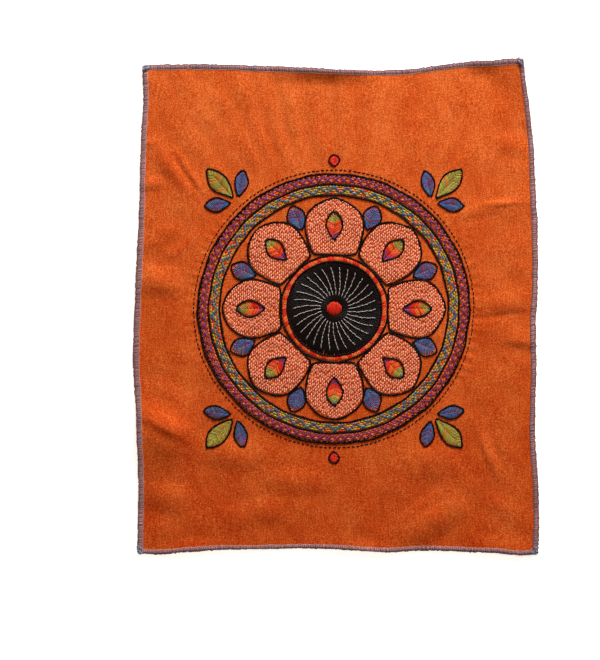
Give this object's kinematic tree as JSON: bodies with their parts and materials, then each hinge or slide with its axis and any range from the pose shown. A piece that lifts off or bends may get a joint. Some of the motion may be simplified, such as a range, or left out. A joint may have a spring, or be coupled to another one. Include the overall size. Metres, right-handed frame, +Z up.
{
  "type": "embroidered panel",
  "caption": "Flat rectangle of orange slubbed cloth, overlocked all round and embroidered with a round flower medallion and corner sprigs, lying face up with slight folds.",
  "frame": {"origin": "middle of the panel's box, on the surface that it lies on", "axes": "+X to the right across the panel, +Y up the panel towards its upper edge, +Z up out of the embroidered face"},
  "size_m": [0.2746, 0.3352, 0.0071],
  "materials": {
    "cloth_orange": "hand-woven slubbed cloth, matt, burnt orange",
    "edging_mauve": "overlock stitching in dull mauve thread",
    "thread_peach": "dense short stitches in peach thread, soft sheen",
    "thread_black": "rows of black stitches, soft sheen",
    "thread_blue": "crossed stitches in blue thread, soft sheen",
    "thread_red": "red satin stitch, soft sheen",
    "thread_purple": "lattice of purple thread, soft sheen",
    "thread_olive": "olive satin stitch, soft sheen"
  },
  "bodies": {
    "root": {"ground_cloth": "cloth_orange", "overlock_top": "edging_mauve", "overlock_bottom": "edging_mauve", "overlock_right": "edging_mauve", "overlock_left": "edging_mauve", "seed_head": "thread_black", "flower_eye": "thread_red", "petal_1": "thread_peach", "petal_2": "thread_peach", "petal_3": "thread_peach", "petal_4": "thread_peach", "petal_5": "thread_peach", "petal_6": "thread_peach", "petal_7": "thread_peach", "petal_8": "thread_peach", "tip_leaf_1": "thread_blue", "tip_leaf_2": "thread_blue", "tip_leaf_3": "thread_blue", "tip_leaf_4": "thread_blue", "tip_leaf_5": "thread_blue", "tip_leaf_6": "thread_blue", "tip_leaf_7": "thread_blue", "tip_leaf_8": "thread_blue", "check_ring_1": "thread_red", "check_ring_2": "thread_red", "check_ring_3": "thread_red", "check_ring_4": "thread_red", "zigzag_band_1": "thread_olive", "zigzag_band_2": "thread_olive", "zigzag_band_3": "thread_olive", "zigzag_band_4": "thread_olive", "lattice_band_1": "thread_purple", "lattice_band_2": "thread_purple", "lattice_band_3": "thread_purple", "lattice_band_4": "thread_purple", "sprig_1_leaf_1": "thread_blue", "sprig_1_leaf_2": "thread_olive", "sprig_1_leaf_3": "thread_blue", "sprig_2_leaf_1": "thread_blue", "sprig_2_leaf_2": "thread_olive", "sprig_2_leaf_3": "thread_blue", "sprig_3_leaf_1": "thread_blue", "sprig_3_leaf_2": "thread_olive", "sprig_3_leaf_3": "thread_blue", "sprig_4_leaf_1": "thread_blue", "sprig_4_leaf_2": "thread_olive", "sprig_4_leaf_3": "thread_blue", "bud_top": "thread_red", "bud_bottom": "thread_red"}
  },
  "joints": []
}
